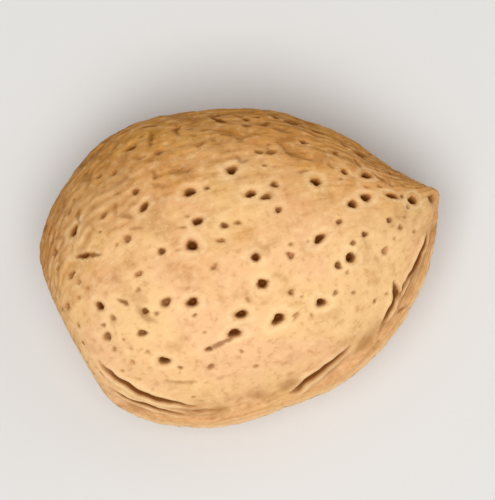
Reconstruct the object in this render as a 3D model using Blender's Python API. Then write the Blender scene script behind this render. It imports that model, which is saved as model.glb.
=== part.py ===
"""An almond in its shell, lying on one of its two broad faces.

The shell grew as one piece, so it is one solid. It is lofted through ribs that stand side by side from the
stem end to the beak. Each rib is a closed hoop that crosses from the rounded back edge, over the upper face,
round the sharp keel and back under the lower face. Broken furrows set the keel off from the faces, a few
wrinkles run near the back edge, and small steep pits are drilled into the skin along its fibres.

The frame: +X runs from the stem end to the beak, +Y from the keel to the back edge and +Z up. The origin lies
on the surface that the almond rests on, under the middle of its outline. Run it with
    blender --background --python part.py
"""

import math
import random

import bmesh
import bpy
import numpy as np
from mathutils import Matrix, Vector, noise

MM = 0.001

# Driving dimensions, in millimetres.
LENGTH = 34.0
WIDTH = 28.0
THICKNESS = 18.2
REST_DEPTH = 0.3  # how much of the lower face is flattened away where the almond lies

# The ribs, from the stem end to the beak. Each row gives where the rib leaves the keel and where it meets the
# back edge, along the length and across it, and how far it swells. The first two pairs are shares of the length
# and the width, and the swelling is a share of half the thickness.
STEM_END = (0.018, 0.005)
BEAK_END = (1.000, 0.012)
RIBS = (
    ((0.018, -0.113), (0.003, 0.155), 0.33),
    ((0.052, -0.195), (0.013, 0.320), 0.55),
    ((0.130, -0.283), (0.075, 0.446), 0.76),
    ((0.266, -0.361), (0.201, 0.556), 0.92),
    ((0.424, -0.398), (0.366, 0.598), 1.00),
    ((0.589, -0.396), (0.551, 0.552), 0.97),
    ((0.739, -0.336), (0.712, 0.453), 0.80),
    ((0.860, -0.230), (0.841, 0.294), 0.56),
    ((0.945, -0.117), (0.918, 0.147), 0.32),
    ((0.989, -0.032), (0.972, 0.052), 0.135),
)
LAST_RIB = len(RIBS) + 1  # the stem end counts as rib 0 and the beak's end as the last

# How a rib is bent. A turn of 0 is at the back edge, 90 degrees on the upper face and 180 on the keel.
FACE_FLATNESS = 0.93  # below 1 the faces are flatter than an ellipse
BACK_ROUNDNESS = 0.96
KEEL_SHARPNESS = 1.50

# Soft relief of the whole skin, in millimetres and in degrees of turn.
KEEL_HOLLOW = {"from_keel": 23.0, "half_width": 9.0, "depth": 0.26}
BACK_SEAM = {"from_keel": 180.0, "half_width": 6.0, "depth": 0.15}
STEM_SCAR = {"reach": 0.55, "depth": 0.8}  # the reach is in ribs
LUMPS = {"height": 0.28, "span": 7.5}

# Marks on the upper face are placed as they look from above when the keel leans this far towards the eye: how
# far each lies from the stem end, and how far from the line through the beak, in millimetres.
KEEL_LEAN = math.radians(8.0)

# Gouges: the broken furrows along the keel and the wrinkles near the back edge, as width, depth and path.
GOUGES = (
    (0.60, 0.42, ((1.4, -0.4), (2.3, -2.5), (3.6, -4.5), (5.6, -6.4), (7.4, -7.7))),
    (0.50, 0.38, ((1.3, -2.9), (2.4, -4.6), (4.0, -6.3), (6.4, -8.2))),
    (0.58, 0.46, ((14.8, -10.3), (16.7, -9.9), (18.7, -9.3), (21.7, -8.5))),
    (0.56, 0.42, ((24.6, -8.2), (26.5, -6.7), (27.2, -5.1))),
    (0.55, 0.42, ((27.9, -5.8), (30.2, -4.1), (31.8, -2.6))),
    (0.50, 0.28, ((19.1, 12.8), (20.2, 12.0), (20.7, 11.3))),
    (0.45, 0.30, ((23.4, 11.3), (24.9, 10.0))),
    (0.50, 0.32, ((23.5, 9.3), (24.1, 8.5), (25.4, 7.1))),
    (0.45, 0.28, ((13.8, 11.6), (16.0, 10.9))),
)
GOUGE_STEP = 0.8

# Each gouge has a looser twin on the lower face: slid along the almond and turned away from the keel, in ribs
# and degrees, drawn out or shortened, and never closer to another twin than the gap in millimetres.
TWIN_SLIDE = 0.9
TWIN_TURN = (-3.0, 9.0)
TWIN_STRETCH = (0.6, 1.25)
TWIN_GAP = 1.7

# Pits seen on the upper face: the deep ones, the fine ones, and the long ones with their length, width and lean
# away from the fibres in degrees.
DEEP_PITS = (
    (18.8, 9.4), (14.7, 9.2), (19.3, 6.9), (24.7, 5.4), (28.1, 2.4), (29.0, 4.1), (31.7, 0.5), (14.3, 6.7),
    (17.4, 1.9), (17.0, -0.4), (10.9, 0.7), (14.2, -2.0), (16.9, -3.7), (20.8, -4.1), (3.7, 3.7), (6.6, -2.8),
    (13.0, 5.1), (4.4, 10.5), (24.7, -1.7), (13.0, -3.3), (26.8, 2.4),
)  # fmt: skip
FINE_PITS = (
    (21.5, 6.8), (16.2, 8.9), (20.9, 4.7), (16.2, 5.4), (18.8, -2.1), (10.5, -3.6), (23.4, -1.8), (25.1, 1.5),
    (26.6, -0.4), (29.1, -0.2), (27.3, 5.1), (10.6, 11.1), (10.4, 5.7), (8.2, 7.9), (20.1, 0.7), (6.0, 0.1),
    (10.0, -5.0), (13.9, 2.7), (7.0, 1.7), (25.3, 8.9),
)  # fmt: skip
LONG_PITS = (
    (30.2, 1.6, 1.35, 0.45, -18),
    (20.4, 6.1, 1.00, 0.52, 15),
    (23.0, 0.9, 1.15, 0.66, 12),
    (10.7, 9.7, 1.05, 0.50, 20),
    (4.2, 8.2, 1.40, 0.42, -45),
    (18.3, -4.1, 0.95, 0.34, 30),
    (15.3, 4.4, 0.80, 0.40, -15),
)
DEEP_WIDTH = (0.68, 0.84)
FINE_WIDTH = (0.46, 0.60)
STRETCH = (1.0, 1.45)
LEAN = 20.0  # degrees

# The other pits are drawn at random.
PIT_SEED = 11
PIT_COUNT = 132  # with those seen above
DEEP_SHARE = 0.4
PIT_SPACING = (1.9, 3.4)  # least distance between middles, drawn afresh for each pit
PITS_FROM_KEEL = (38.0, 85.0)  # degrees: none nearer than the first, and as many as elsewhere past the second
PITS_FROM_END = 0.6  # ribs
PITS_FROM_REST = 6.2  # from the middle of the rest spot

# The drill that sinks a pit, in widths of its mouth.
PIT_DEPTH = 1.1
PIT_FLOOR = 0.55
DRILL_HEAD = 0.55  # how far it stands out of the skin
PIT_SIDES = 7

# The mesh.
RINGS_PER_RIB = 4
HOOP_POINTS = 48
KEEL_CROWDING = 0.4  # how much closer a hoop's points stand at the keel

SHELL_COLOUR = (0.72, 0.47, 0.24, 1.0)
SHELL_ROUGHNESS = 0.78


def outline_loop():
    """The outline's points in millimetres, once round: stem end, keel, beak, back edge."""
    keel = [rib[0] for rib in RIBS]
    back = [rib[1] for rib in reversed(RIBS)]
    return np.array([STEM_END, *keel, BEAK_END, *back]) * (LENGTH, WIDTH)


def swelling_loop():
    """Half the thickness along the outline, negative on the way back so that both ends close round."""
    swelling = [rib[2] for rib in RIBS]
    return np.array([0, *swelling, 0, *(-s for s in reversed(swelling))]) * THICKNESS / 2


OUTLINE = outline_loop()
SWELLING = swelling_loop()


def through(points, position):
    """A smooth closed curve through the points, read at a position that counts them."""
    position = np.asarray(position, float)
    start = np.floor(position).astype(int)
    before, here, after, later = (points[(start + i) % len(points)] for i in (-1, 0, 1, 2))
    share = (position - start).reshape(position.shape + (1,) * (points.ndim - 1))
    return here + 0.5 * share * (
        (after - before)
        + share * (2 * before - 5 * here + 4 * after - later)
        + share**2 * (3 * here - before - 3 * after + later)
    )


def smooth_step(value, low, high):
    """0 below low, 1 above high and a smooth slope between."""
    share = np.clip((value - low) / (high - low), 0, 1)
    return share * share * (3 - 2 * share)


def plain_skin(rib, turn):
    """Points of the skin before any relief, at ribs and at turns in radians."""
    rib = np.asarray(rib, float)
    keel, back = through(OUTLINE, rib), through(OUTLINE, -rib)
    cosine, sine = np.cos(turn), np.sin(turn)
    across = np.sign(cosine) * np.abs(cosine) ** FACE_FLATNESS
    sharpness = BACK_ROUNDNESS + (KEEL_SHARPNESS - BACK_ROUNDNESS) * smooth_step(-cosine, -0.6, 1.0)
    height = np.sign(sine) * np.abs(sine) ** sharpness * through(SWELLING, rib)
    plan = (keel + back) / 2 + (back - keel) / 2 * np.asarray(across)[..., None]
    return np.concatenate([plan, np.asarray(height)[..., None]], axis=-1)


def directions(rib, turn):
    """Unit vectors of the skin: along the fibres towards the beak, and outwards."""
    step = 0.01
    along = plain_skin(rib + step, turn) - plain_skin(rib - step, turn)
    around = plain_skin(rib, turn + step) - plain_skin(rib, turn - step)
    outward = np.cross(around, along)
    return tuple(v / np.linalg.norm(v, axis=-1, keepdims=True) for v in (along, outward))


def from_keel(turn):
    """Degrees of turn between a place and the keel."""
    return np.degrees(np.abs((turn % math.tau) - math.pi))


def hollow(turn, shape):
    """The depth of a hollow that runs along the almond."""
    return shape["depth"] * np.exp(-(((from_keel(turn) - shape["from_keel"]) / shape["half_width"]) ** 2))


def relief(rib, turn, point):
    """How far the skin stands out from the plain form."""
    away_from_ends = smooth_step(rib, 0.3, 1.5) * (1 - smooth_step(rib, LAST_RIB - 1.5, LAST_RIB - 0.3))
    lumps = np.array([noise.noise(Vector(p) / LUMPS["span"]) for p in point.reshape(-1, 3)])
    scar = np.maximum(0, 1 - (rib / STEM_SCAR["reach"]) ** 2)
    soft = LUMPS["height"] * lumps.reshape(np.shape(rib)) - hollow(turn, KEEL_HOLLOW) - hollow(turn, BACK_SEAM)
    return soft * away_from_ends - STEM_SCAR["depth"] * scar


def skin(rib, turn):
    """Points of the skin with its soft relief, at ribs and at turns in radians."""
    point = plain_skin(rib, turn)
    _, outward = directions(rib, turn)
    return point + outward * relief(rib, turn, point)[..., None]


def places_seen(marks):
    """The rib and turn of each mark that is seen on the upper face when the keel leans towards the eye."""
    ribs, turns = np.meshgrid(np.linspace(0.2, LAST_RIB - 0.2, 700), np.linspace(0, math.pi, 400))
    points = plain_skin(ribs, turns)
    across = points[..., 1] * math.cos(KEEL_LEAN) + points[..., 2] * math.sin(KEEL_LEAN)
    places = []
    for mark in marks:
        nearest = np.argmin((points[..., 0] - mark[0]) ** 2 + (across - mark[1]) ** 2)
        places.append((ribs.flat[nearest], turns.flat[nearest]))
    return places


def loose_twin(draw, above, twins):
    """The ribs and turns of a gouge's twin on the lower face, drawn again until it is clear of the others."""
    while True:
        slide, turned = draw.uniform(-TWIN_SLIDE, TWIN_SLIDE), math.radians(draw.uniform(*TWIN_TURN))
        middle = above.mean(axis=0)
        drawn_out = middle + (above - middle) * draw.uniform(*TWIN_STRETCH)
        twin = drawn_out * (1, -1) + (slide, math.tau + turned)
        twin[:, 0] = np.clip(twin[:, 0], 0.7, LAST_RIB - 0.9)
        points = plain_skin(twin[:, 0], twin[:, 1])
        gaps = [np.linalg.norm(points[:, None] - other[None], axis=2).min() for other in twins]
        if min(gaps, default=TWIN_GAP) >= TWIN_GAP:
            twins.append(points)
            return twin


def gouge_paths():
    """Every gouge as (width, depth, ribs and turns along its path), first above and then below."""
    draw = random.Random(PIT_SEED)
    paths, twins = [], []
    for width, depth, marks in GOUGES:
        places = np.array(places_seen(marks))
        open_ended = np.array([places[0], *places, places[-1]])
        length = np.linalg.norm(np.diff(np.array(marks), axis=0), axis=1).sum()
        stations = np.linspace(1, len(marks), 1 + max(3, round(length / GOUGE_STEP)))
        stations[-1] -= 1e-6
        above = through(open_ended, stations)
        paths += [(width, depth, above), (width, depth, loose_twin(draw, above, twins))]
    return paths


def rest_middle():
    """The plan of the lowest point of the plain form, where the almond lies."""
    ribs = np.linspace(0, LAST_RIB, 400)
    lowest = ribs[np.argmax(through(SWELLING, ribs))]
    return (through(OUTLINE, lowest) + through(OUTLINE, -lowest)) / 2


def pits():
    """Every pit as (rib, turn, length, width, lean). Past those seen above they are drawn at random, apart from
    each other and from the gouges, thinner towards the keel, and clear of the ends and of the rest spot."""
    draw = random.Random(PIT_SEED)

    def size(width_range):
        width = draw.uniform(*width_range)
        return width * draw.uniform(*STRETCH), width, draw.uniform(-LEAN, LEAN)

    found = [(*place, *size(DEEP_WIDTH)) for place in places_seen(DEEP_PITS)]
    found += [(*place, *size(FINE_WIDTH)) for place in places_seen(FINE_PITS)]
    found += [(*place, *mark[2:]) for place, mark in zip(places_seen(LONG_PITS), LONG_PITS)]
    taken = [plain_skin(*pit[:2]) for pit in found]
    for _, _, path in gouge_paths():
        taken += list(plain_skin(path[:, 0], path[:, 1]))
    rest = rest_middle()
    while len(found) < PIT_COUNT:
        rib = draw.uniform(PITS_FROM_END, LAST_RIB - PITS_FROM_END)
        turn = draw.uniform(0, math.tau)
        spacing = draw.uniform(*PIT_SPACING)
        deep = draw.random() < DEEP_SHARE
        pit = (rib, turn, *size(DEEP_WIDTH if deep else FINE_WIDTH))
        point = plain_skin(rib, turn)
        near_rest = turn > math.pi and np.linalg.norm(point[:2] - rest) < PITS_FROM_REST
        crowded = np.linalg.norm(np.array(taken) - point, axis=1).min() < spacing
        if near_rest or crowded or draw.random() > smooth_step(from_keel(turn), *PITS_FROM_KEEL):
            continue
        found.append(pit)
        taken.append(point)
    return found


def hoop_turns():
    """Turns of a hoop's points, closer together at the keel."""
    even = np.arange(HOOP_POINTS) * math.tau / HOOP_POINTS
    return math.pi + even - KEEL_CROWDING * np.sin(even)


def shell_mesh():
    """The lofted shell with its soft relief, closed by a fan of faces at each end."""
    ribs = np.linspace(0, LAST_RIB, RINGS_PER_RIB * LAST_RIB + 1)[1:-1]
    rib_grid, turn_grid = np.meshgrid(ribs, hoop_turns(), indexing="ij")
    bm = bmesh.new()
    hoops = [[bm.verts.new(p * MM) for p in hoop] for hoop in skin(rib_grid, turn_grid)]
    for first, second in zip(hoops, hoops[1:]):
        for k in range(HOOP_POINTS):
            after = (k + 1) % HOOP_POINTS
            bm.faces.new((first[k], first[after], second[after], second[k]))
    stem = through(OUTLINE, 0) + (STEM_SCAR["depth"], 0)
    for end, hoop in ((stem, hoops[0]), (through(OUTLINE, LAST_RIB), hoops[-1])):
        middle = bm.verts.new((*end * MM, 0))
        for k in range(HOOP_POINTS):
            bm.faces.new((middle, hoop[k], hoop[(k + 1) % HOOP_POINTS]))
    bmesh.ops.recalc_face_normals(bm, faces=bm.faces)
    return bm


def flatten_rest_spot(bm, floor):
    """Cuts the lower face off at the floor's height and closes the cut with one flat face."""
    cut = bmesh.ops.bisect_plane(
        bm,
        geom=bm.verts[:] + bm.edges[:] + bm.faces[:],
        plane_co=(0, 0, floor),
        plane_no=(0, 0, -1),
        clear_outer=True,
    )
    rim = [item for item in cut["geom_cut"] if isinstance(item, bmesh.types.BMEdge)]
    bmesh.ops.contextual_create(bm, geom=rim)
    bmesh.ops.recalc_face_normals(bm, faces=bm.faces)


def add_drill(bm, rib, turn, length, width, lean):
    """A tapered plug that sinks one pit. It stands square to the skin, its longer way along the fibres."""
    along, outward = (Vector(v) for v in directions(rib, turn))
    turned = Matrix((along, outward.cross(along), outward)).transposed().to_4x4()
    slope = (1 - PIT_FLOOR) / 2 / PIT_DEPTH
    bmesh.ops.create_cone(
        bm,
        cap_ends=True,
        segments=PIT_SIDES,
        radius1=PIT_FLOOR / 2,
        radius2=0.5 + slope * DRILL_HEAD,
        depth=PIT_DEPTH + DRILL_HEAD,
        matrix=Matrix.Translation(Vector(skin(rib, turn)) * MM)
        @ turned
        @ Matrix.Rotation(math.radians(lean), 4, "Z")
        @ Matrix.Diagonal((length * MM, width * MM, width * MM, 1))
        @ Matrix.Translation((0, 0, (DRILL_HEAD - PIT_DEPTH) / 2)),
    )


def add_gouge(bm, width, depth, path):
    """A wedge that follows a path over the skin, and grows narrow and shallow towards both of its ends."""
    points = skin(path[:, 0], path[:, 1])
    _, outward = directions(path[:, 0], path[:, 1])
    along = np.gradient(points, axis=0)
    aside = np.cross(along, outward)
    aside /= np.linalg.norm(aside, axis=1, keepdims=True)
    fullness = np.sqrt(1 - 0.85 * np.linspace(-1, 1, len(path)) ** 2)[:, None]
    sections = []
    for height, half_width in ((width, width), (-depth, width * 0.15)):
        middle = points + outward * (height * fullness if height < 0 else height)
        sections.append((middle - aside * half_width * fullness, middle + aside * half_width * fullness))
    (top_left, top_right), (floor_left, floor_right) = sections
    rings = [[bm.verts.new(p * MM) for p in ring] for ring in zip(top_left, top_right, floor_right, floor_left)]
    for first, second in zip(rings, rings[1:]):
        for k in range(4):
            bm.faces.new((first[k], first[(k + 1) % 4], second[(k + 1) % 4], second[k]))
    bm.faces.new(rings[0])
    bm.faces.new(rings[-1])


def add_cutters(material):
    """One object that holds every drill and gouge."""
    bm = bmesh.new()
    for pit in pits():
        add_drill(bm, *pit)
    for gouge in gouge_paths():
        add_gouge(bm, *gouge)
    bmesh.ops.recalc_face_normals(bm, faces=bm.faces)
    cutters = add_object("pits_and_furrows", bm, material)
    cutters.hide_render = True
    cutters.display_type = "WIRE"
    return cutters


def shell_material():
    material = bpy.data.materials.new("almond_shell")
    material.use_nodes = True
    surface = material.node_tree.nodes["Principled BSDF"]
    surface.inputs["Base Color"].default_value = SHELL_COLOUR
    surface.inputs["Roughness"].default_value = SHELL_ROUGHNESS
    surface.inputs["Metallic"].default_value = 0.0
    material.diffuse_color = SHELL_COLOUR
    return material


def add_object(name, bm, material):
    mesh = bpy.data.meshes.new(name)
    bm.to_mesh(mesh)
    bm.free()
    mesh.materials.append(material)
    obj = bpy.data.objects.new(name, mesh)
    bpy.context.scene.collection.objects.link(obj)
    return obj


def main():
    for obj in list(bpy.data.objects):
        bpy.data.objects.remove(obj)
    material = shell_material()
    bm = shell_mesh()
    floor = min(v.co.z for v in bm.verts) + REST_DEPTH * MM
    flatten_rest_spot(bm, floor)
    corners = [[pick(v.co[axis] for v in bm.verts) for axis in range(2)] for pick in (min, max)]
    middle = [(low + high) / 2 for low, high in zip(*corners)]
    almond = add_object("almond", bm, material)
    cutters = add_cutters(material)
    for obj in (almond, cutters):
        obj.data.transform(Matrix.Translation((-middle[0], -middle[1], -floor)))
    cut = almond.modifiers.new("pits and furrows", "BOOLEAN")
    cut.operation = "DIFFERENCE"
    cut.solver = "EXACT"
    cut.object = cutters
    almond.data.shade_smooth()
    almond.data.set_sharp_from_angle(angle=math.radians(45))


main()
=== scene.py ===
# %% [markdown]
# # An almond in its shell
#
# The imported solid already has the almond's true form: a broad body with a sharp keel, a beak, furrows and
# pits, made of about ten thousand flat faces. This lesson makes the same form again with a much finer net,
# adds the wrinkles that are too small for the solid, and then gives it a dry, woody, slightly fibrous skin.

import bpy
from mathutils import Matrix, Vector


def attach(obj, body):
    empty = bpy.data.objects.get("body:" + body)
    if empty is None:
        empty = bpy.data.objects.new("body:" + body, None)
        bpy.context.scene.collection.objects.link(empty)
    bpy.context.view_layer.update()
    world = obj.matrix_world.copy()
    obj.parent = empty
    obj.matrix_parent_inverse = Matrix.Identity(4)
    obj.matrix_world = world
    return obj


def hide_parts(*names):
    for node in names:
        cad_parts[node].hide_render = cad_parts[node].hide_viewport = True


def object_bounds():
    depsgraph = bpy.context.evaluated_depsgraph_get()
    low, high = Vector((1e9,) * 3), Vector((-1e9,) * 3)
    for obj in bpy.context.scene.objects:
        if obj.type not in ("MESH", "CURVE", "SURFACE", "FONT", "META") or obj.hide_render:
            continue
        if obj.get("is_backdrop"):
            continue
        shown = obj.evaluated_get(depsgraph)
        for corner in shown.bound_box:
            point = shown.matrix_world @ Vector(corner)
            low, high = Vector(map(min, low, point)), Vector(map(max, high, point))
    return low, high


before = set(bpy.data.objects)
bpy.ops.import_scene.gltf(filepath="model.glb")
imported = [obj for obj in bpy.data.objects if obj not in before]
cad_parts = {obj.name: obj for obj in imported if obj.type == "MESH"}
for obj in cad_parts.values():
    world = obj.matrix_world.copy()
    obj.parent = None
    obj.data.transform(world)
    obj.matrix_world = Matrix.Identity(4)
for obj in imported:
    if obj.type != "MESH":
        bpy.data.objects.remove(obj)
solid_low, solid_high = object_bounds()
print("solid almond, mm:", [round((high - low) * 1000, 2) for low, high in zip(solid_low, solid_high)])

# %% Tools for the lesson
import math
import random

import bmesh
import bpy
import numpy as np
from mathutils import Matrix, Vector, noise

MM = 0.001
# Without a seed of its own the vector noise starts from the clock, and no two runs are alike.
NOISE_SEED = 3
noise.seed_set(NOISE_SEED)
print("Blender", bpy.app.version_string)

# %% [markdown]
# ## The form
#
# A real almond is neither an egg nor an ellipsoid. Seen from above, one side is a full curve and the other
# is a flatter curve that ends in a sharp keel, and both run into a short beak. It could be sculpted by
# hand, but then nobody could measure it. Here the outline is a list of ribs, each with the point where it
# leaves the keel, the point where it meets the back edge and its share of the thickness. A place on the
# skin is then two numbers: a rib, and a turn round that rib.

# %% The ribs
LENGTH, WIDTH, THICKNESS = 34.0, 28.0, 18.2
REST_DEPTH = 0.3
STEM_END, BEAK_END = (0.018, 0.005), (1.000, 0.012)
RIBS = (
    ((0.018, -0.113), (0.003, 0.155), 0.33),
    ((0.052, -0.195), (0.013, 0.320), 0.55),
    ((0.130, -0.283), (0.075, 0.446), 0.76),
    ((0.266, -0.361), (0.201, 0.556), 0.92),
    ((0.424, -0.398), (0.366, 0.598), 1.00),
    ((0.589, -0.396), (0.551, 0.552), 0.97),
    ((0.739, -0.336), (0.712, 0.453), 0.80),
    ((0.860, -0.230), (0.841, 0.294), 0.56),
    ((0.945, -0.117), (0.918, 0.147), 0.32),
    ((0.989, -0.032), (0.972, 0.052), 0.135),
)
LAST_RIB = len(RIBS) + 1
keel_points = [rib[0] for rib in RIBS]
back_points = [rib[1] for rib in reversed(RIBS)]
swelling = [rib[2] for rib in RIBS]
OUTLINE = np.array([STEM_END, *keel_points, BEAK_END, *back_points]) * (LENGTH, WIDTH)
SWELLING = np.array([0, *swelling, 0, *(-s for s in reversed(swelling))]) * THICKNESS / 2
print(len(RIBS), "ribs between the stem end and the beak")

# %% How a rib is bent
FACE_FLATNESS = 0.93  # below 1 the faces are flatter than an ellipse
BACK_ROUNDNESS, KEEL_SHARPNESS = 0.96, 1.50
print("the keel is", round(KEEL_SHARPNESS / BACK_ROUNDNESS, 2), "times as sharp as the back edge")


# %% From a rib and a turn to a point
def through(points, position):
    """A smooth closed curve through the points, read at a position that counts them."""
    position = np.asarray(position, float)
    start = np.floor(position).astype(int)
    before, here, after, later = (points[(start + i) % len(points)] for i in (-1, 0, 1, 2))
    share = (position - start).reshape(position.shape + (1,) * (points.ndim - 1))
    return here + 0.5 * share * (
        (after - before)
        + share * (2 * before - 5 * here + 4 * after - later)
        + share**2 * (3 * here - before - 3 * after + later)
    )


def smooth_step(value, low, high):
    """0 below low, 1 above high and a smooth slope between."""
    share = np.clip((value - low) / (high - low), 0, 1)
    return share * share * (3 - 2 * share)


def plain_skin(rib, turn):
    """Points of the bare form. A turn of 0 is at the back edge and half a turn is at the keel."""
    rib = np.asarray(rib, float)
    keel, back = through(OUTLINE, rib), through(OUTLINE, -rib)
    cosine, sine = np.cos(turn), np.sin(turn)
    across = np.sign(cosine) * np.abs(cosine) ** FACE_FLATNESS
    sharpness = BACK_ROUNDNESS + (KEEL_SHARPNESS - BACK_ROUNDNESS) * smooth_step(-cosine, -0.6, 1.0)
    height = np.sign(sine) * np.abs(sine) ** sharpness * through(SWELLING, rib)
    plan = (keel + back) / 2 + (back - keel) / 2 * np.asarray(across)[..., None]
    return np.concatenate([plan, np.asarray(height)[..., None]], axis=-1)


def directions(rib, turn):
    """Unit vectors of the skin: along the fibres towards the beak, and outwards."""
    step = 0.01
    rib = np.clip(rib, 2 * step, LAST_RIB - 2 * step)
    along = plain_skin(rib + step, turn) - plain_skin(rib - step, turn)
    around = plain_skin(rib, turn + step) - plain_skin(rib, turn - step)
    outward = np.cross(around, along)
    return tuple(v / np.linalg.norm(v, axis=-1, keepdims=True) for v in (along, outward))


def from_keel(turn):
    """Degrees of turn between a place and the keel."""
    return np.degrees(np.abs((turn % math.tau) - math.pi))


print("widest rib, mm:", np.round(np.linalg.norm(through(OUTLINE, 5) - through(OUTLINE, -5)), 1))

# %% [markdown]
# ## Furrows, wrinkles and pits
#
# The shell is full of marks. Broken furrows run along both sides of the keel, where the husk's veins ran,
# and short wrinkles lie near the back edge. The pits are small and steep. Most of those on the upper face
# are listed by their place, as they look from above, and the others are drawn at random from a fixed seed
# with a least distance between them, so that they are scattered but never in heaps. Their numbers and those
# of the gouges are the same as for the solid, so each lands on the one that the solid already has. The fine
# furrows and the strokes are too shallow for the solid, so they are listed only here.

# %% Gouges with a known place
# Each is a width, a depth and a path. A place is the distance from the stem end and from the line between
# the two ends, in millimetres, as it looks from above when the keel leans towards the eye.
KEEL_LEAN = math.radians(8.0)
GOUGES = (
    (0.60, 0.42, ((1.4, -0.4), (2.3, -2.5), (3.6, -4.5), (5.6, -6.4), (7.4, -7.7))),
    (0.50, 0.38, ((1.3, -2.9), (2.4, -4.6), (4.0, -6.3), (6.4, -8.2))),
    (0.58, 0.46, ((14.8, -10.3), (16.7, -9.9), (18.7, -9.3), (21.7, -8.5))),
    (0.56, 0.42, ((24.6, -8.2), (26.5, -6.7), (27.2, -5.1))),
    (0.55, 0.42, ((27.9, -5.8), (30.2, -4.1), (31.8, -2.6))),
    (0.50, 0.28, ((19.1, 12.8), (20.2, 12.0), (20.7, 11.3))),
    (0.45, 0.30, ((23.4, 11.3), (24.9, 10.0))),
    (0.50, 0.32, ((23.5, 9.3), (24.1, 8.5), (25.4, 7.1))),
    (0.45, 0.28, ((13.8, 11.6), (16.0, 10.9))),
)
FINE_FURROWS = (
    (0.36, 0.16, ((30.9, -4.0), (29.4, -5.1), (28.2, -6.1), (27.3, -7.0))),
    (0.44, 0.22, ((29.3, -4.8), (28.2, -5.6), (27.2, -6.4), (26.2, -7.1))),
    (0.36, 0.13, ((25.6, -7.3), (25.0, -8.1), (24.2, -9.0))),
    (0.36, 0.12, ((6.9, -7.9), (8.7, -8.7))),
    (0.30, 0.07, ((5.8, -4.4), (8.4, -5.8))),
)
print(len(GOUGES), "gouges and", len(FINE_FURROWS), "fine furrows have a known place")

# %% Pits with a known place
# A long pit has its length, width and lean away from the fibres, in degrees, after its place.
DEEP_PITS = (
    (18.8, 9.4), (14.7, 9.2), (19.3, 6.9), (24.7, 5.4), (28.1, 2.4), (29.0, 4.1), (31.7, 0.5), (14.3, 6.7),
    (17.4, 1.9), (17.0, -0.4), (10.9, 0.7), (14.2, -2.0), (16.9, -3.7), (20.8, -4.1), (3.7, 3.7), (6.6, -2.8),
    (13.0, 5.1), (4.4, 10.5), (24.7, -1.7), (13.0, -3.3), (26.8, 2.4),
)
FINE_PITS = (
    (21.5, 6.8), (16.2, 8.9), (20.9, 4.7), (16.2, 5.4), (18.8, -2.1), (10.5, -3.6), (23.4, -1.8), (25.1, 1.5),
    (26.6, -0.4), (29.1, -0.2), (27.3, 5.1), (10.6, 11.1), (10.4, 5.7), (8.2, 7.9), (20.1, 0.7), (6.0, 0.1),
    (10.0, -5.0), (13.9, 2.7), (7.0, 1.7), (25.3, 8.9),
)
LONG_PITS = (
    (30.2, 1.6, 1.35, 0.45, -18),
    (20.4, 6.1, 1.00, 0.52, 15),
    (23.0, 0.9, 1.15, 0.66, 12),
    (10.7, 9.7, 1.05, 0.50, 20),
    (4.2, 8.2, 1.40, 0.42, -45),
    (18.3, -4.1, 0.95, 0.34, 30),
    (15.3, 4.4, 0.80, 0.40, -15),
)
known_pits = len(DEEP_PITS) + len(FINE_PITS) + len(LONG_PITS)
print(known_pits, "pits have a known place")

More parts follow.
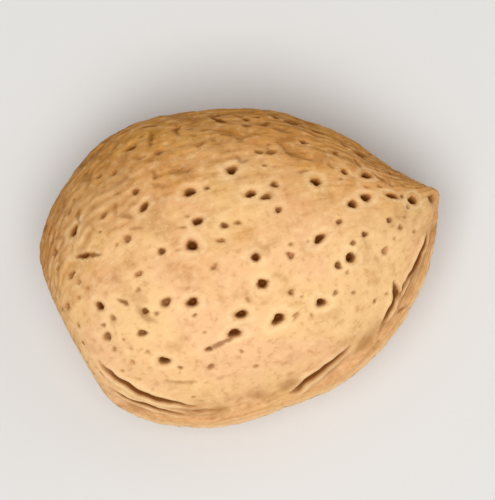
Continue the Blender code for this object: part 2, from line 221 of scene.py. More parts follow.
# %% Strokes with a known place
# A stroke is a crease by its two ends, and then its width, depth, bend and stain.
STROKES = (
    ((19.2, 14.3), (20.0, 13.3), 0.50, 0.18, 0.5, 0.80),
    ((21.5, 13.0), (22.0, 12.7), 0.50, 0.16, 0.0, 0.75),
    ((21.2, 12.6), (21.8, 12.1), 0.40, 0.12, 0.3, 0.60),
    ((13.9, 15.3), (13.4, 14.1), 0.46, 0.13, -0.8, 0.50),
    ((16.1, 14.9), (15.9, 13.8), 0.38, 0.10, 0.6, 0.50),
    ((17.8, 13.5), (18.6, 13.3), 0.42, 0.09, 0.0, 0.35),
    ((21.2, 9.9), (21.8, 9.6), 0.44, 0.13, 0.0, 0.65),
    ((22.0, 9.5), (22.8, 9.2), 0.46, 0.14, 0.4, 0.65),
    ((22.5, 10.1), (22.3, 9.6), 0.30, 0.08, 0.0, 0.35),
    ((26.4, 9.6), (27.1, 9.0), 0.50, 0.15, 0.4, 0.65),
    ((28.2, 7.7), (28.6, 6.9), 0.46, 0.11, 0.8, 0.45),
    ((13.5, 16.0), (14.5, 15.7), 0.44, 0.11, -0.5, 0.50),
    ((16.8, 12.5), (17.5, 12.3), 0.46, 0.09, 0.4, 0.40),
    ((12.1, 11.2), (13.1, 10.4), 0.44, 0.07, 0.6, 0.28),
    ((28.6, 5.9), (28.8, 4.8), 0.34, 0.09, 0.4, 0.40),
    ((29.6, 4.1), (30.1, 3.0), 0.34, 0.10, -0.3, 0.45),
    ((11.7, 13.8), (12.7, 13.5), 0.44, 0.08, 0.5, 0.32),
    ((22.5, 11.9), (23.4, 11.7), 0.46, 0.14, 0.6, 0.60),
    ((23.9, 12.2), (24.3, 11.8), 0.46, 0.14, 0.0, 0.65),
    ((24.7, 11.4), (25.1, 11.0), 0.46, 0.14, 0.0, 0.65),
    ((22.3, 14.0), (22.8, 13.6), 0.44, 0.10, 0.0, 0.45),
    ((26.4, 6.6), (26.5, 5.8), 0.36, 0.07, 0.5, 0.30),
    ((18.5, 13.3), (20.0, 12.3), 0.34, 0.08, -0.9, 0.30),
    ((23.3, 10.1), (23.5, 9.2), 0.34, 0.09, 0.6, 0.35),
    ((30.0, 5.8), (30.3, 5.5), 0.36, 0.12, 0.0, 0.55),
    ((6.6, 2.2), (7.3, 0.6), 0.65, 0.11, 0.7, 0.34),
    ((4.4, 8.2), (5.6, 7.6), 0.30, 0.09, 0.0, 0.60),
    ((5.4, 3.5), (6.0, 2.9), 0.44, 0.16, 0.0, 0.60),
    ((4.2, 2.6), (4.5, 2.1), 0.42, 0.14, 0.0, 0.50),
    ((10.5, -3.6), (13.1, -3.5), 0.42, 0.10, 0.3, 0.50),
    ((27.3, -7.6), (26.5, -7.8), 0.28, 0.10, 0.0, 0.45),
)
print(len(STROKES), "strokes have a known place")


# %% From a place seen above to a rib and a turn
def places_seen(marks):
    """The rib and turn of each mark that is seen on the upper face when the keel leans towards the eye."""
    ribs, turns = np.meshgrid(np.linspace(0.2, LAST_RIB - 0.2, 700), np.linspace(0, math.pi, 400))
    points = plain_skin(ribs, turns)
    across = points[..., 1] * math.cos(KEEL_LEAN) + points[..., 2] * math.sin(KEEL_LEAN)
    places = []
    for mark in marks:
        nearest = np.argmin((points[..., 0] - mark[0]) ** 2 + (across - mark[1]) ** 2)
        places.append((ribs.flat[nearest], turns.flat[nearest]))
    return places


print("rib and turn of the first deep pit:", np.round(places_seen(DEEP_PITS[:1])[0], 2))

# %% Paths of the gouges on both faces
# Each gouge has a looser twin on the lower face: slid, turned a little, and drawn out or shortened.
PIT_SEED, GOUGE_STEP = 11, 0.8
TWIN_SLIDE, TWIN_TURN, TWIN_STRETCH, TWIN_GAP = 0.9, (-3.0, 9.0), (0.6, 1.25), 1.7
TWIN_RIBS = 0.7, LAST_RIB - 0.9


def path_seen(marks):
    """The ribs and turns along a path over the upper face."""
    places = np.array(places_seen(marks))
    open_ended = np.array([places[0], *places, places[-1]])
    length = np.linalg.norm(np.diff(np.array(marks), axis=0), axis=1).sum()
    stations = np.linspace(1, len(marks), 1 + max(3, round(length / GOUGE_STEP)))
    stations[-1] -= 1e-6
    return through(open_ended, stations)


def loose_twin(draw, above, twins):
    """The ribs and turns of a gouge's twin on the lower face, drawn again until it is clear of the others."""
    while True:
        slide, turned = draw.uniform(-TWIN_SLIDE, TWIN_SLIDE), math.radians(draw.uniform(*TWIN_TURN))
        middle = above.mean(axis=0)
        drawn_out = middle + (above - middle) * draw.uniform(*TWIN_STRETCH)
        twin = drawn_out * (1, -1) + (slide, math.tau + turned)
        twin[:, 0] = np.clip(twin[:, 0], *TWIN_RIBS)
        points = plain_skin(twin[:, 0], twin[:, 1])
        gaps = [np.linalg.norm(points[:, None] - other[None], axis=2).min() for other in twins]
        if min(gaps, default=TWIN_GAP) >= TWIN_GAP:
            twins.append(points)
            return twin


twin_draw, twins, gouges = random.Random(PIT_SEED), [], []
for width, depth, marks in GOUGES:
    above = path_seen(marks)
    gouges += [(width, depth, above), (width, depth, loose_twin(twin_draw, above, twins))]
fine_furrows = [(width, depth, path_seen(marks)) for width, depth, marks in FINE_FURROWS]
print(len(gouges), "gouges on the two faces and", len(fine_furrows), "fine furrows")

# %% Places of all the pits
DEEP_WIDTH, FINE_WIDTH, STRETCH, LEAN = (0.68, 0.84), (0.46, 0.60), (1.0, 1.45), 20.0
PIT_COUNT, DEEP_SHARE, PIT_SPACING = 132, 0.4, (1.9, 3.4)
PITS_FROM_KEEL, PITS_FROM_END, PITS_FROM_REST = (38.0, 85.0), 0.6, 6.2


def draw_pits():
    """Every pit as (rib, turn, length, width, lean): those with a known place, then the scattered ones."""
    draw = random.Random(PIT_SEED)

    def size(width_range):
        width = draw.uniform(*width_range)
        return width * draw.uniform(*STRETCH), width, draw.uniform(-LEAN, LEAN)

    found = [(*place, *size(DEEP_WIDTH)) for place in places_seen(DEEP_PITS)]
    found += [(*place, *size(FINE_WIDTH)) for place in places_seen(FINE_PITS)]
    found += [(*place, *mark[2:]) for place, mark in zip(places_seen(LONG_PITS), LONG_PITS)]
    taken = [plain_skin(*pit[:2]) for pit in found]
    for _, _, path in gouges:
        taken += list(plain_skin(path[:, 0], path[:, 1]))
    ribs = np.linspace(0, LAST_RIB, 400)
    lowest = ribs[np.argmax(through(SWELLING, ribs))]
    rest = (through(OUTLINE, lowest) + through(OUTLINE, -lowest)) / 2
    while len(found) < PIT_COUNT:
        rib, turn = draw.uniform(PITS_FROM_END, LAST_RIB - PITS_FROM_END), draw.uniform(0, math.tau)
        spacing = draw.uniform(*PIT_SPACING)
        deep = draw.random() < DEEP_SHARE
        pit = (rib, turn, *size(DEEP_WIDTH if deep else FINE_WIDTH))
        point = plain_skin(rib, turn)
        near_rest = turn > math.pi and np.linalg.norm(point[:2] - rest) < PITS_FROM_REST
        crowded = np.linalg.norm(np.array(taken) - point, axis=1).min() < spacing
        if near_rest or crowded or draw.random() > smooth_step(from_keel(turn), *PITS_FROM_KEEL):
            continue
        found.append(pit)
        taken.append(point)
    return found


pits = draw_pits()
print(len(pits), "pits,", sum(pit[1] < math.pi for pit in pits), "of them on the upper face")


# %% [markdown]
# ## Pores and creases
#
# Between the pits a real shell has pores half their size, and towards the back edge it is rough with short
# crooked creases. They are too small to be worth a place in the solid, so they are drawn at random here,
# with a least distance to their neighbours. All of them are ovals: a crease is only a long, narrow, shallow
# and bent one.

# %% Pits as ovals
# An oval is (rib, turn, length, width, lean, depth, bend, stain). Wide pits are dark, fine ones less so and
# a few of them faint, and on the upper face the scattered pits are fainter than those with a known place.
WIDE, DARK, LESS_DARK, FAINT, SCATTERED_SHARE = 0.6, (0.85, 1.0), (0.55, 0.75), 0.45, 0.6
FAINT_FINE_PITS = (13, 14, 16, 17)
LONG_PIT_STAINS = (0.95, 0.75, 0.95, 0.85, 0.85, 0.40, 0.50)
stain_draw = random.Random(41)
stains = [stain_draw.uniform(*(DARK if pit[3] > WIDE else LESS_DARK)) for pit in pits]
for number in FAINT_FINE_PITS:
    stains[len(DEEP_PITS) + number] = FAINT
stains[known_pits - len(LONG_PITS) : known_pits] = LONG_PIT_STAINS
for number in range(known_pits, len(pits)):
    if pits[number][1] < math.pi:
        stains[number] *= SCATTERED_SHARE
depths = [pit[3] * (1.0 if pit[3] > WIDE else 0.8) for pit in pits]
pit_ovals = [(*pit, depth, 0.0, stain) for pit, depth, stain in zip(pits, depths, stains)]
print(len(pit_ovals), "pits,", sum(oval[7] > 0.8 for oval in pit_ovals), "of them dark")


# %% Strokes as ovals
def stroke_ovals():
    """The known strokes as ovals. Each lies between its two ends, and its faint tips reach past them."""
    ends = places_seen([end for stroke in STROKES for end in stroke[:2]])
    found = []
    for first, last, stroke in zip(ends[::2], ends[1::2], STROKES):
        (rib, turn), way = np.mean((first, last), axis=0), plain_skin(*last) - plain_skin(*first)
        along, outward = directions(rib, turn)
        lean = math.degrees(math.atan2(way @ np.cross(outward, along), way @ along))
        width, depth, bend, stain = stroke[2:]
        found.append((rib, turn, 1.15 * np.linalg.norm(way), width, lean, depth, bend, stain))
    return found


known_strokes = stroke_ovals()
print(len(known_strokes), "strokes, the longest", round(max(oval[2] for oval in known_strokes), 1), "mm")


# %% Scattered ovals
def scatter(count, seed, keel_range, gap, taken, shape):
    """Ovals drawn at random. More of them lie far from the keel, and each keeps a gap to those before it."""
    draw = random.Random(seed)
    found = []
    while len(found) < count:
        rib, turn = draw.uniform(0.7, LAST_RIB - 0.7), draw.uniform(0, math.tau)
        oval = (rib, turn, *shape(draw))
        point = plain_skin(rib, turn)
        crowded = np.linalg.norm(np.array(taken) - point, axis=1).min() < gap + oval[2] / 3
        if crowded or draw.random() > smooth_step(from_keel(turn), *keel_range):
            continue
        found.append(oval)
        taken.append(point)
    return found


def pore_shape(draw):
    width = draw.uniform(0.24, 0.40)
    length, lean = width * draw.uniform(1, 1.5), draw.uniform(-40, 40)
    return length, width, lean, width * 0.45, 0.0, draw.uniform(0.25, 0.6)


def crease_shape(draw):
    length, width = draw.uniform(0.6, 1.7), draw.uniform(0.34, 0.56)
    lean, bend = draw.gauss(0, 40), draw.uniform(-1.8, 1.8)
    return length, width, lean, draw.uniform(0.05, 0.11), bend, draw.uniform(0.15, 0.45)


taken = [plain_skin(*oval[:2]) for oval in pit_ovals + known_strokes]
for _, _, path in gouges + fine_furrows:
    taken += list(plain_skin(path[:, 0], path[:, 1]))
pore_ovals = scatter(210, seed=29, keel_range=(20, 70), gap=0.75, taken=taken, shape=pore_shape)
crease_ovals = scatter(110, seed=23, keel_range=(88, 150), gap=0.60, taken=taken, shape=crease_shape)
ovals = pit_ovals + known_strokes + pore_ovals + crease_ovals
print(len(pore_ovals), "pores and", len(crease_ovals), "creases")

# %% [markdown]
# ## How deep each mark goes
#
# A pit is an oval with a ragged rim: its wall falls steeply inside the rim, and a shallow dimple surrounds
# it. A gouge is deepest in the middle and fades towards both ends, and those away from the keel are broad
# and soft. Two helpers read how deep the marks are at any points of the skin. They also tell how near the
# points are to a mark, because the net is refined there, and how stained they are, because dust and dry
# husk stay in the marks. The fainter a pit is, the softer and wider is its stain.


# %% Noise at any points
def noise_at(points, seed=0.0):
    """Smooth noise between about -1 and 1."""
    return np.array([noise.noise(Vector(p)) for p in points + seed])


def shaken(points, reach, size):
    """The points pushed about by noise, so that what is drawn through them gets a ragged edge."""
    return points + reach * np.array([noise.noise_vector(Vector(p)) for p in points / size])


print("noise at one point:", round(float(noise_at(np.array([[0.3, 0.4, 0.2]]))[0]), 2))


# %% Depth of the ovals at any points
def oval_marks(points):
    """Depth of the ovals at the points, nearness of an oval, stain, and painted highlight round the rims."""
    draw = random.Random(5)
    points = shaken(points, 0.10, 0.55)
    depth, stained, pale = np.zeros((3, len(points)))
    nearest = np.full(len(points), 9.0)
    for rib, turn, length, width, lean, deepest, bend, stain in ovals:
        phases = draw.uniform(0, math.tau), draw.uniform(0, math.tau)
        along, outward = directions(rib, turn)
        aside = np.cross(outward, along)
        lean = math.radians(lean)
        offset = points - plain_skin(rib, turn)
        close = np.flatnonzero(np.abs(offset).max(axis=1) < 2.5 * length)
        offset = offset[close]
        u = offset @ (along * math.cos(lean) + aside * math.sin(lean)) * 2 / length
        v = offset @ (aside * math.cos(lean) - along * math.sin(lean)) * 2 / width
        v = v - bend * (u**2 - 0.4)
        angle = np.arctan2(v, u)
        ragged = 1 + 0.09 * np.sin(2 * angle + phases[0]) + 0.08 * np.sin(3 * angle + phases[1])
        radius = np.hypot(u, v) * ragged + 3 * (np.abs(offset @ outward) > 1.5)
        wall = 1 - smooth_step(radius, 0.30, 1.10)
        dimple = 0.09 * deepest * np.exp(-((radius / 1.9) ** 2))
        depth[close] = np.maximum(depth[close], deepest * wall + dimple)
        spread = 0.87 * (1 - smooth_step(radius, 0.42, 2.05 - 0.87 * stain))
        spread += 0.13 * (1 - smooth_step(radius, 0.9, 2.2))
        stained[close] = np.maximum(stained[close], stain * spread)
        # A painted highlight rings each mark just outside its rim, brighter round the darker marks.
        pale[close] = np.maximum(pale[close], stain**2 * np.exp(-(((radius - 2.0) / 0.45) ** 2)))
        nearest[close] = np.minimum(nearest[close], radius)
    return depth, nearest, stained, pale


print("ovals are", round(min(o[5] for o in ovals), 2), "to", round(max(o[5] for o in ovals), 2), "mm deep")


# %% Depth of the gouges at any points
def gouge_marks(points):
    """How deep the gouges go at the points, how near a gouge is, how stained each point is, and the lips."""
    points = shaken(points, 0.22, 1.1)
    depth, stained, lips = np.zeros((3, len(points)))
    nearest = np.full(len(points), 9.0)
    for width, deepest, path in gouges + fine_furrows:
        beside_keel = 1 - smooth_step(from_keel(path[:, 1]).mean(), 45, 70)
        darkness = min(1, 0.35 + 1.6 * deepest) * (0.55 + 0.45 * beside_keel)
        width, deepest = width * (1.5 - 0.5 * beside_keel), deepest * (0.55 + 0.45 * beside_keel)
        stations = plain_skin(path[:, 0], path[:, 1])
        middle, reach = stations.mean(axis=0), np.ptp(stations, axis=0).max() / 2 + 2
        close = np.flatnonzero(np.abs(points - middle).max(axis=1) < reach)
        best = np.full(len(close), 9.0)
        share = np.zeros(len(close))
        for number, (first, second) in enumerate(zip(stations, stations[1:])):
            way = second - first
            part = np.clip((points[close] - first) @ way / (way @ way), 0, 1)
            distance = np.linalg.norm(points[close] - first - part[:, None] * way, axis=1)
            closer = distance < best
            best[closer] = distance[closer]
            share[closer] = (number + part[closer]) / (len(stations) - 1)
        fullness = np.sqrt(1 - 0.96 * (2 * share - 1) ** 2)
        radius = best / (width / 2 * fullness)
        cut = 1 - smooth_step(radius, 0.1, 1.5)
        depth[close] = np.maximum(depth[close], deepest * fullness * cut)
        lip = 0.36 * deepest * fullness * np.exp(-(((radius - 2.3) / 0.8) ** 2))
        lips[close] = np.maximum(lips[close], lip * (0.4 + 0.6 * beside_keel))
        stained[close] = np.maximum(stained[close], darkness * fullness * (1 - smooth_step(radius, 0.7, 1.9)))
        nearest[close] = np.minimum(nearest[close], radius)
    return depth, nearest, stained, lips


on_a_gouge = gouge_marks(plain_skin(gouges[4][2][:, 0], gouges[4][2][:, 1]))
print("along the deepest gouge, mm:", np.round(on_a_gouge[0], 2))

# %% [markdown]
# ## A net that is fine where it must be
#
# A grid of ribs and turns would crowd its faces at the two ends. An icosphere has faces of one size
# everywhere, so its net is wrapped round the form instead: the angle from the pole picks the rib and the
# angle round the pole picks the turn. A pit is only about three edges across on that net, so each edge
# near a mark is split, and inside a mark once more. The smooth stretches between keep their larger faces.


# %% Wrap the net
def places_on(net):
    """The rib and turn of each of the net's corners."""
    corners = np.array([vert.co for vert in net.verts])
    corners /= np.linalg.norm(corners, axis=1, keepdims=True)
    rib = np.arccos(np.clip(corners[:, 2], -1, 1)) / math.pi * LAST_RIB
    return rib, np.arctan2(corners[:, 1], corners[:, 0]) % math.tau


def split_near_marks(net, pit_reach, gouge_reach):
    """Splits each edge of the net whose ends both lie near a pit or a gouge."""
    points = plain_skin(*places_on(net))
    near = (oval_marks(points)[1] < pit_reach) | (gouge_marks(points)[1] < gouge_reach)
    edges = [edge for edge in net.edges if near[edge.verts[0].index] and near[edge.verts[1].index]]
    bmesh.ops.subdivide_edges(net, edges=edges, cuts=1)
    bmesh.ops.triangulate(net, faces=[face for face in net.faces if len(face.verts) > 3])
    net.verts.index_update()


net = bmesh.new()
bmesh.ops.create_icosphere(net, subdivisions=7, radius=1)
split_near_marks(net, pit_reach=1.4, gouge_reach=2.0)
split_near_marks(net, pit_reach=1.05, gouge_reach=1.1)
rib, turn = places_on(net)
print(len(net.faces), "faces in the net")

# %% [markdown]
# ## The skin's relief
#
# The form gets its relief in layers. The soft one is that of the solid: broad lumps, a shallow hollow
# beside the keel, a seam along the back edge and the scar at the stem end. Then come the wrinkles, which
# follow the fibres and deepen towards the back edge and the beak. They are noise that is stretched along
# the fibres and folded, because a folded noise has sharp valleys and round crests like a shrunken skin.
# Crinkles, ripples and the keel's crest are finer still, and the gouges and the pits are sunk last.


# %% Soft relief
LUMP_HEIGHT, LUMP_SPAN = 0.28, 7.5
SCAR_DEPTH, SCAR_REACH = 0.8, 0.55  # the reach is in ribs


def hollow(middle, half_width, depth):
    """The depth of a hollow that runs along the almond, a number of degrees away from the keel."""
    return depth * np.exp(-(((from_keel(turn) - middle) / half_width) ** 2))


points = plain_skin(rib, turn)
along, outward = directions(rib, turn)
away_from_ends = smooth_step(rib, 0.3, 1.5) * (1 - smooth_step(rib, LAST_RIB - 1.5, LAST_RIB - 0.3))
soft = LUMP_HEIGHT * noise_at(points / LUMP_SPAN)
soft = soft - hollow(middle=23.0, half_width=9.0, depth=0.26)
soft = soft - hollow(middle=180.0, half_width=6.0, depth=0.15)
scar = SCAR_DEPTH * np.maximum(0, 1 - (rib / SCAR_REACH) ** 2)
soft = soft * away_from_ends - scar
print("soft relief, mm:", np.round([soft.min(), soft.max()], 2))

# %% Angle from the keel, without a star at the two ends
# All angles meet in one point at each end, so there the angle is drawn towards that of the faces.
spread = smooth_step(rib, 0.0, 2.4) * (1 - smooth_step(rib, LAST_RIB - 2.4, LAST_RIB))
keel_angle = 90 + (from_keel(turn) - 90) * spread
print("angle from the keel:", np.round([keel_angle.min(), keel_angle.max()]))

# %% Wrinkles along the fibres
WRINKLE_DEPTH, GRAIN_HEIGHT = 0.18, 0.02
towards_back = smooth_step(keel_angle, 95, 165)
towards_beak = smooth_step(rib, LAST_RIB - 3.5, LAST_RIB - 1.0)
fibre = np.column_stack([points[:, 0], np.radians(keel_angle) * 12, points[:, 2] * 0.4])
bent = fibre + noise_at(points / 5, 31.0)[:, None] * (0, 1.4, 0)
folds = np.abs(noise_at(bent * (0.28, 0.60, 0.5), 3.0))
small_folds = np.abs(noise_at(bent * (0.6, 1.4, 1.2), 9.0))
valleys = (1 - smooth_step(folds, 0.0, 0.22)) * 0.7 + (1 - smooth_step(small_folds, 0.0, 0.3)) * 0.3
wrinkled = np.clip(0.05 + 0.9 * towards_back + 0.4 * towards_beak, 0, 1)
wrinkles = WRINKLE_DEPTH * valleys * wrinkled
grain = GRAIN_HEIGHT * noise_at(bent * (0.9, 2.2, 2.2), 17.0)
bumps = 0.06 * noise_at(points / 1.9, 47.0) + 0.035 * noise_at(points / 0.8, 53.0)
print("wrinkles, mm:", np.round(wrinkles.max(), 2), "bumps, mm:", np.round(np.abs(bumps).max(), 2))

# %% Crinkles
# Where a noise crosses zero it draws a thin winding line, and a second noise breaks it into short strokes.
CRINKLE_DEPTH = 0.07
winding = np.abs(noise_at(bent * (0.75, 1.05, 0.9) + noise_at(points / 0.9, 61.0)[:, None] * 0.35, 67.0))
broken = smooth_step(noise_at(points / 1.3, 71.0), -0.02, 0.16)
crinkled = smooth_step(keel_angle, 88, 130) * away_from_ends
crinkles = (1 - smooth_step(winding, 0.02, 0.12)) * broken * crinkled
print("share of the skin inside a crinkle:", round(float((crinkles > 0.5).mean()), 3))

# %% Ripples like the lines of a map
# A wave of the angle, pushed about by two noises, winds over the creased side in lines about a millimetre
# apart.
RIPPLE_HEIGHT, RIPPLE_SPACING = 0.035, 5.6  # the spacing is in degrees
pushed = 1.1 * noise_at(points / 2.8, 91.0) + 0.4 * noise_at(points / 1.0, 95.0)
waves = np.sin(math.tau * (keel_angle / RIPPLE_SPACING + pushed))
patchy = smooth_step(noise_at(points / 4.0, 97.0), -0.35, 0.25)
rippled = np.clip(smooth_step(keel_angle, 92, 128) + 0.5 * towards_beak, 0, 1) * patchy * away_from_ends
ripples = RIPPLE_HEIGHT * waves * rippled
print("ripples, mm:", np.round(np.abs(ripples).max(), 3))

# %% The keel's crest
# A thin crest runs along the keel, and the husk's fibres have left fine lines and notches beside it.
CREST_HEIGHT, LINE_DEPTH, NOTCH_DEPTH = 0.09, 0.07, 0.06
near_keel = (1 - smooth_step(keel_angle, 8, 34)) * away_from_ends
wavering = noise_at(points / 3.0, 103.0)[:, None] * (0, 0.8, 0)
lines = np.abs(noise_at(fibre * (0.30, 2.4, 0.8) + wavering, 105.0))
notches = 1 - smooth_step(np.abs(noise_at(points * (1.5, 0.5, 0.5), 107.0)), 0.0, 0.10)
line_valleys = (1 - smooth_step(lines, 0.0, 0.20)) * near_keel
notched = notches * (1 - smooth_step(keel_angle, 3, 12)) * away_from_ends
crest = CREST_HEIGHT * np.exp(-((keel_angle / 5) ** 2)) * away_from_ends
crest = crest - LINE_DEPTH * line_valleys - NOTCH_DEPTH * notched
print("crest, mm:", np.round([crest.min(), crest.max()], 2))

# %% Sink the marks and seat the skin on the solid's place
oval_depth, near_oval, oval_stain, rim_highlight = oval_marks(points)
gouge_depth, _, gouge_stain, lips = gouge_marks(points)
crinkles *= smooth_step(near_oval, 1.2, 2.6)
rough = (grain + bumps) * away_from_ends + ripples + crest - wrinkles - CRINKLE_DEPTH * crinkles
height = soft + rough * smooth_step(near_oval, 0.4, 1.2) + lips - np.maximum(oval_depth, gouge_depth)
skin = points + outward * height[:, None]
bare = points + outward * soft[:, None]
low, high = bare.min(axis=0), bare.max(axis=0)
middle = (np.array(solid_low) + np.array(solid_high)) / 2 / MM
shift = np.array([*(middle - (low + high) / 2)[:2], -(low[2] + REST_DEPTH)])
skin += shift
skin[:, 2] = np.maximum(skin[:, 2], 0)
print("skin, mm:", np.round(np.ptp(skin, axis=0), 2))

# %% Make the shell
for vert, place in zip(net.verts, skin):
    vert.co = place * MM
net.normal_update()
core = Vector((0, 0, THICKNESS / 2 * MM))
if sum(face.normal.dot(face.calc_center_median() - core) for face in net.faces) < 0:
    bmesh.ops.reverse_faces(net, faces=net.faces)
mesh = bpy.data.meshes.new("almond_shell")
net.to_mesh(mesh)
net.free()
mesh.shade_smooth()
shell = bpy.data.objects.new("almond_shell", mesh)
bpy.context.scene.collection.objects.link(shell)
print(len(mesh.polygons), "faces in the shell")


# %% What the shell remembers for its finish
def remember(name, values):
    """Keeps a number for each corner of the shell, for the finish to read."""
    mesh.attributes.new(name, "FLOAT", "POINT").data.foreach_set("value", np.asarray(values, np.float32))


remember("oval_stain", oval_stain)
remember("gouge_stain", gouge_stain)
# A painted highlight on the rims of the marks and on the lips of the gouges.
remember("rim_highlight", np.maximum(rim_highlight, lips / lips.max()))
# Painted shade, in patches, along the hollow beside the keel.
keel_groove = np.exp(-(((keel_angle - 24) / 6) ** 2)) * away_from_ends
remember("groove_shade", keel_groove * smooth_step(noise_at(points / 1.6, 83.0), -0.35, 0.25))
remember("in_fold", valleys * wrinkled * smooth_step(rib, 0.5, 3.0))
remember("in_crinkle", crinkles)
remember("in_ripple", (0.5 - 0.5 * waves) * rippled)
remember("on_ripple", (0.5 + 0.5 * waves) * rippled)
remember("in_keel_line", np.maximum(line_valleys, notched))
# A painted highlight along the keel's crest.
remember("crest_highlight", (1 - smooth_step(keel_angle, 4, 15)) * away_from_ends)
# Towards the back edge the honey is a stain, and partly painted shade that grows towards the beak end.
remember("towards_back", keel_angle / 180 * (0.82 + 0.035 * rib))
# Painted shade: the more the skin faces sideways, the more it is tinted tan.
remember("sideways_shade", (1 - np.abs(outward[:, 2])) * (0.4 + 0.6 * smooth_step(rib, 1.0, 4.0)))
remember("beak_tan", smooth_step(rib, 6.0, 8.5) * smooth_step(keel_angle, 70, 105))
fibre_places = mesh.attributes.new("fibre", "FLOAT_VECTOR", "POINT")
fibre_places.data.foreach_set("vector", fibre.astype(np.float32).ravel())
print("remembered:", [kept.name for kept in mesh.attributes if kept.domain == "POINT"])

# %% [markdown]
# ## A class for the finish
#
# A finish is a sum of many small effects, and its nodes are easier to read as sums. One small class wraps
# an output socket. Arithmetic on it adds a Math node, and its method called node adds any other.


# %% Signals
class Signal:
    """An output socket of a finish. Sums and products of signals add their Math nodes."""

    def __init__(self, tree, socket=None):
        self.tree, self.socket = tree, socket

    def node(self, kind, settings=(), sockets=(), output=0):
        """Adds a node of this kind: first its settings, then the values or links of its sockets."""
        made = self.tree.nodes.new(kind)
        for name, value in dict(settings).items():
            setattr(made, name, value)
        for key, value in dict(sockets).items():
            if isinstance(value, Signal):
                self.tree.links.new(value.socket, made.inputs[key])
            else:
                made.inputs[key].default_value = value
        return Signal(self.tree, made.outputs[output])

    def maths(self, operation, *values):
        return self.node("ShaderNodeMath", {"operation": operation}, enumerate(values))

    def __add__(self, other):
        return self.maths("ADD", self, other)

    def __radd__(self, other):
        return self.maths("ADD", other, self)

    def __sub__(self, other):
        return self.maths("SUBTRACT", self, other)

    def __rsub__(self, other):
        return self.maths("SUBTRACT", other, self)

    def __mul__(self, other):
        return self.maths("MULTIPLY", self, other)

    def __rmul__(self, other):
        return self.maths("MULTIPLY", other, self)


def blend(mask, low_colour, high_colour):
    """The low colour where the mask is 0 and the high colour where it is 1."""
    return mask.node(
        "ShaderNodeMix", {"data_type": "RGBA"}, {0: mask, 6: low_colour, 7: high_colour}, output=2
    )


def between(signal, low, high):
    """0 below low and 1 above high."""
    return signal.node(
        "ShaderNodeMapRange",
        {"interpolation_type": "SMOOTHSTEP"},
        {"Value": signal, "From Min": low, "From Max": high},
    )


def colour(red, green, blue):
    """A colour as it looks on a screen, from 0 to 255, turned into the light values that the shader takes."""
    shares = [value / 255 for value in (red, green, blue)]
    light = [s / 12.92 if s < 0.04045 else ((s + 0.055) / 1.055) ** 2.4 for s in shares]
    return (*light, 1)


print("middle grey as light values:", [round(value, 3) for value in colour(128, 128, 128)])

# %% [markdown]
# ## The woody skin
#
# A dry almond shell is matt, warm and uneven: cream with a breath of pink on the full middle of the face,
# tan towards the beak, honey and brown towards the back edge, where the husk's fibres dried on it. The
# tan towards the rim is painted shade where the skin faces sideways, and the honey towards the back edge
# and the keel is partly painted shade, more of it towards the beak end. One flat colour would look like
# plastic. Here broad patches mix the two creams, streaks of noise stretched along the fibres darken them,
# and the marks that the mesh remembers are stained: the wrinkles a little, the furrows more, and the pits
# dark brown. A band of painted shade lies in the hollow beside the keel, and the keel's crest, the rims
# of the marks and the lips of the gouges get a painted highlight.

# %% Patches and streaks
finish = bpy.data.materials.new("woody_shell")
finish.use_nodes = True
tree = finish.node_tree
start = Signal(tree)


def remembered(name, output="Fac"):
    """A value that the mesh keeps at its corners."""
    return start.node("ShaderNodeAttribute", {"attribute_name": name}, output=output)


def noise_of(vector, stretch, scale, detail=3.0, offset=0.0):
    """Noise between 0 and 1 in the vector's space, drawn out by the stretch."""
    place = start.node(
        "ShaderNodeVectorMath",
        {"operation": "MULTIPLY_ADD"},
        {0: vector, 1: stretch, 2: (offset, offset, offset)},
    )
    return start.node(
        "ShaderNodeTexNoise",
        {},
        {"Vector": place, "Scale": scale, "Detail": detail, "Roughness": 0.55},
    )


fibre_place = remembered("fibre", "Vector")
body_place = start.node("ShaderNodeTexCoord", output="Object")
patches = noise_of(body_place, (1, 1, 1), 120.0, detail=2.0)
yellow_patches = noise_of(body_place, (1, 1, 1), 150.0, offset=11.0)
mottle = noise_of(body_place, (1, 1, 1), 420.0, detail=4.0, offset=3.0)
flecks = noise_of(body_place, (1, 1, 1), 1500.0, detail=3.0, offset=5.0)
streaks = noise_of(fibre_place, (0.14, 1.0, 0.6), 1.6, detail=4.0)
fine_streaks = noise_of(fibre_place, (0.22, 1.0, 0.8), 5.0, detail=3.0, offset=7.0)
print(len(tree.nodes), "nodes so far")

# %% Colours
CREAM = colour(243, 197, 138)
PINK_CREAM = colour(243, 192, 142)
YELLOW_CREAM = colour(236, 188, 116)
# The rim cream is also the colour of the painted highlights.
RIM_CREAM = colour(254, 217, 163)
TAN = colour(224, 158, 90)
HONEY = colour(210, 144, 62)
AMBER = colour(228, 166, 74)
BROWN = colour(160, 98, 34)
FOLD_BROWN = colour(132, 75, 10)
PIT_BROWN = colour(114, 58, 5)
print("cream as light values:", [round(value, 3) for value in CREAM])

# %% Where the broad stains and the painted shade lie
back = remembered("towards_back")
# The honey towards the back edge and near the keel is a stain and partly painted shade.
back_stain_and_shade = between(back + (patches - 0.5) * 0.5 + (streaks - 0.5) * 0.3, 0.4, 0.9)
keel_stain_and_shade = 1 - between(back + (mottle - 0.5) * 0.1, 0.05, 0.2)
# The tan towards the rim is painted shade, strongest where the skin faces sideways.
painted_rim_shade = between(remembered("sideways_shade") + (patches - 0.5) * 0.4, 0.15, 0.85)
in_gouge, in_oval = remembered("gouge_stain"), remembered("oval_stain")
print(len(tree.nodes), "nodes with the broad stains")

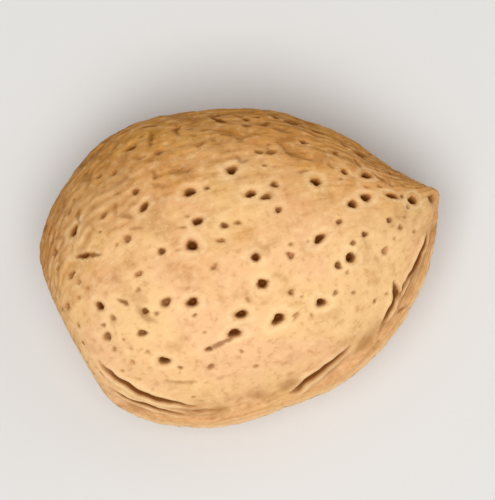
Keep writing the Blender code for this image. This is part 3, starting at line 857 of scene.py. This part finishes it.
# %% One colour over another
# Each layer is a mask and the colour that it lays over those before it.
layers = (
    (between(yellow_patches, 0.5, 0.66) * 0.25, YELLOW_CREAM),
    # Painted shade towards the rim.
    (painted_rim_shade * 0.5, TAN),
    (remembered("beak_tan") * (0.55 + 0.5 * mottle), TAN),
    # Honey towards the back edge and the keel: stains, and partly painted shade.
    (back_stain_and_shade * 0.9, HONEY),
    (keel_stain_and_shade * 0.15, HONEY),
    (between(yellow_patches, 0.52, 0.68) * back_stain_and_shade * 0.7, AMBER),
    (between(streaks, 0.54, 0.76) * (0.06 + 0.30 * back_stain_and_shade), BROWN),
    (between(fine_streaks, 0.5, 0.75) * (0.04 + 0.10 * back_stain_and_shade), BROWN),
    (between(mottle, 0.5, 0.72) * (0.30 + 0.2 * back_stain_and_shade), BROWN),
    (between(flecks, 0.52, 0.72) * 0.30, BROWN),
    (between(1 - flecks, 0.52, 0.70) * 0.30, RIM_CREAM),
    # Painted shade along the hollow beside the keel.
    (remembered("groove_shade") * 0.55, BROWN),
    (remembered("in_ripple") * 0.40, BROWN),
    (remembered("on_ripple") * 0.12, RIM_CREAM),
    (remembered("in_keel_line") * 0.40, BROWN),
    (remembered("in_fold") * 0.4, FOLD_BROWN),
    (remembered("in_crinkle") * 0.30, FOLD_BROWN),
    # A painted highlight on the keel's crest.
    (remembered("crest_highlight") * (0.25 + 0.5 * mottle), RIM_CREAM),
    # A painted highlight on the rims of the marks and the lips of the gouges.
    (remembered("rim_highlight") * (0.62 - 0.35 * back_stain_and_shade), RIM_CREAM),
    (in_gouge * 0.9, FOLD_BROWN),
    (between(in_gouge, 0.5, 0.95) * 0.75, PIT_BROWN),
    (between(in_oval, 0.0, 0.6) * 0.75, FOLD_BROWN),
    (between(in_oval, 0.45, 0.95), PIT_BROWN),
)
skin_colour = blend(between(patches, 0.42, 0.6), CREAM, PINK_CREAM)
for mask, laid_over in layers:
    skin_colour = blend(mask, skin_colour, laid_over)
print(len(layers), "layers of colour,", len(tree.nodes), "nodes with them")

# %% Relief too fine for the net, and the shader
relief = fine_streaks * 0.4 + mottle * 0.8 + flecks * 0.35
bump = start.node("ShaderNodeBump", {}, {"Strength": 0.8, "Distance": 0.00014, "Height": relief})
surface = tree.nodes["Principled BSDF"]
for socket, signal in (
    ("Base Color", skin_colour),
    ("Roughness", 0.68 + 0.2 * mottle),
    ("Normal", bump),
):
    tree.links.new(signal.socket, surface.inputs[socket])
surface.inputs["Specular IOR Level"].default_value = 0.1
mesh.materials.append(finish)
print(len(tree.nodes), "nodes in the woody shell")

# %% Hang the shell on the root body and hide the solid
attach(shell, "root")
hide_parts("almond")
print("the shell stands for the solid almond")

# %% [markdown]
# ## Floor, light and camera
#
# The almond lies on a plain pale floor under one large soft lamp, with a weak one on the other side and a
# pale sky, so that the shade inside the pits stays soft. The camera looks nearly straight down, and the
# almond's keel leans eight degrees towards it. A long lens keeps the outline true.

# %% Floor
HALF_SIDE = 1.5
floor_mesh = bpy.data.meshes.new("pale_floor")
floor_corners = [(x * HALF_SIDE, y * HALF_SIDE, 0) for x, y in ((-1, -1), (1, -1), (1, 1), (-1, 1))]
floor_mesh.from_pydata(floor_corners, [], [(0, 1, 2, 3)])
floor = bpy.data.objects.new("pale_floor", floor_mesh)
bpy.context.scene.collection.objects.link(floor)
paper = bpy.data.materials.new("pale_paper")
paper.use_nodes = True
paper_surface = paper.node_tree.nodes["Principled BSDF"]
paper_surface.inputs["Base Color"].default_value = (0.74, 0.73, 0.71, 1)
paper_surface.inputs["Roughness"].default_value = 0.9
floor_mesh.materials.append(paper)
floor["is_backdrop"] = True
print("floor", 2 * HALF_SIDE, "m across")

# %% Camera
ROLL = math.radians(25.2)  # between the almond's length and the picture's width
PICTURE_WIDTH = 0.043  # at the almond
low, high = (Vector(corner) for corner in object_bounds())
aim = (low + high) / 2
up_in_plan = Vector((math.sin(ROLL), math.cos(ROLL), 0))
back_from_aim = Vector((0, -math.sin(KEEL_LEAN), math.cos(KEEL_LEAN)))
right = up_in_plan.cross(back_from_aim).normalized()
upwards = back_from_aim.cross(right)
lens = bpy.data.cameras.new("camera")
lens.lens = 300
lens.sensor_width = 36
distance = PICTURE_WIDTH * lens.lens / lens.sensor_width
camera = bpy.data.objects.new("camera", lens)
facing = Matrix((right, upwards, back_from_aim)).transposed().to_4x4()
camera.matrix_world = Matrix.Translation(aim + back_from_aim * distance) @ facing
lens.clip_start, lens.clip_end = 0.01, 10
bpy.context.scene.collection.objects.link(camera)
bpy.context.scene.camera = camera
print("camera", round(distance, 3), "m away")


# %% Lamps
def lamp(name, place, size, watts):
    """A square soft lamp that faces the almond. Its place is right, up and towards the eye in the picture."""
    light = bpy.data.lights.new(name, "AREA")
    light.size, light.energy = size, watts
    lamp_object = bpy.data.objects.new(name, light)
    where = right * place[0] + upwards * place[1] + back_from_aim * place[2]
    lamp_object.location = aim + where
    lamp_object.rotation_mode = "QUATERNION"
    lamp_object.rotation_quaternion = where.to_track_quat("Z", "Y")
    bpy.context.scene.collection.objects.link(lamp_object)


lamp("key_lamp", place=(-0.03, -0.09, 0.44), size=0.30, watts=1.60)
lamp("fill_lamp", place=(0.35, 0.20, 0.35), size=0.40, watts=0.35)
world = bpy.data.worlds.new("pale_sky")
bpy.context.scene.world = world
world.use_nodes = True
sky = world.node_tree.nodes["Background"]
sky.inputs["Color"].default_value = (1, 1, 1, 1)
sky.inputs["Strength"].default_value = 0.36
bpy.context.scene.view_settings.view_transform = "Standard"
print("two lamps and a pale sky")

# %% Measure and finish
skin_low, skin_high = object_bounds()
sizes = {"solid": [list(solid_low), list(solid_high)], "scene": [list(skin_low), list(skin_high)]}
for name, box in sizes.items():
    print("box of the", name, "in mm:", np.round(np.array(box) / MM, 2).tolist())
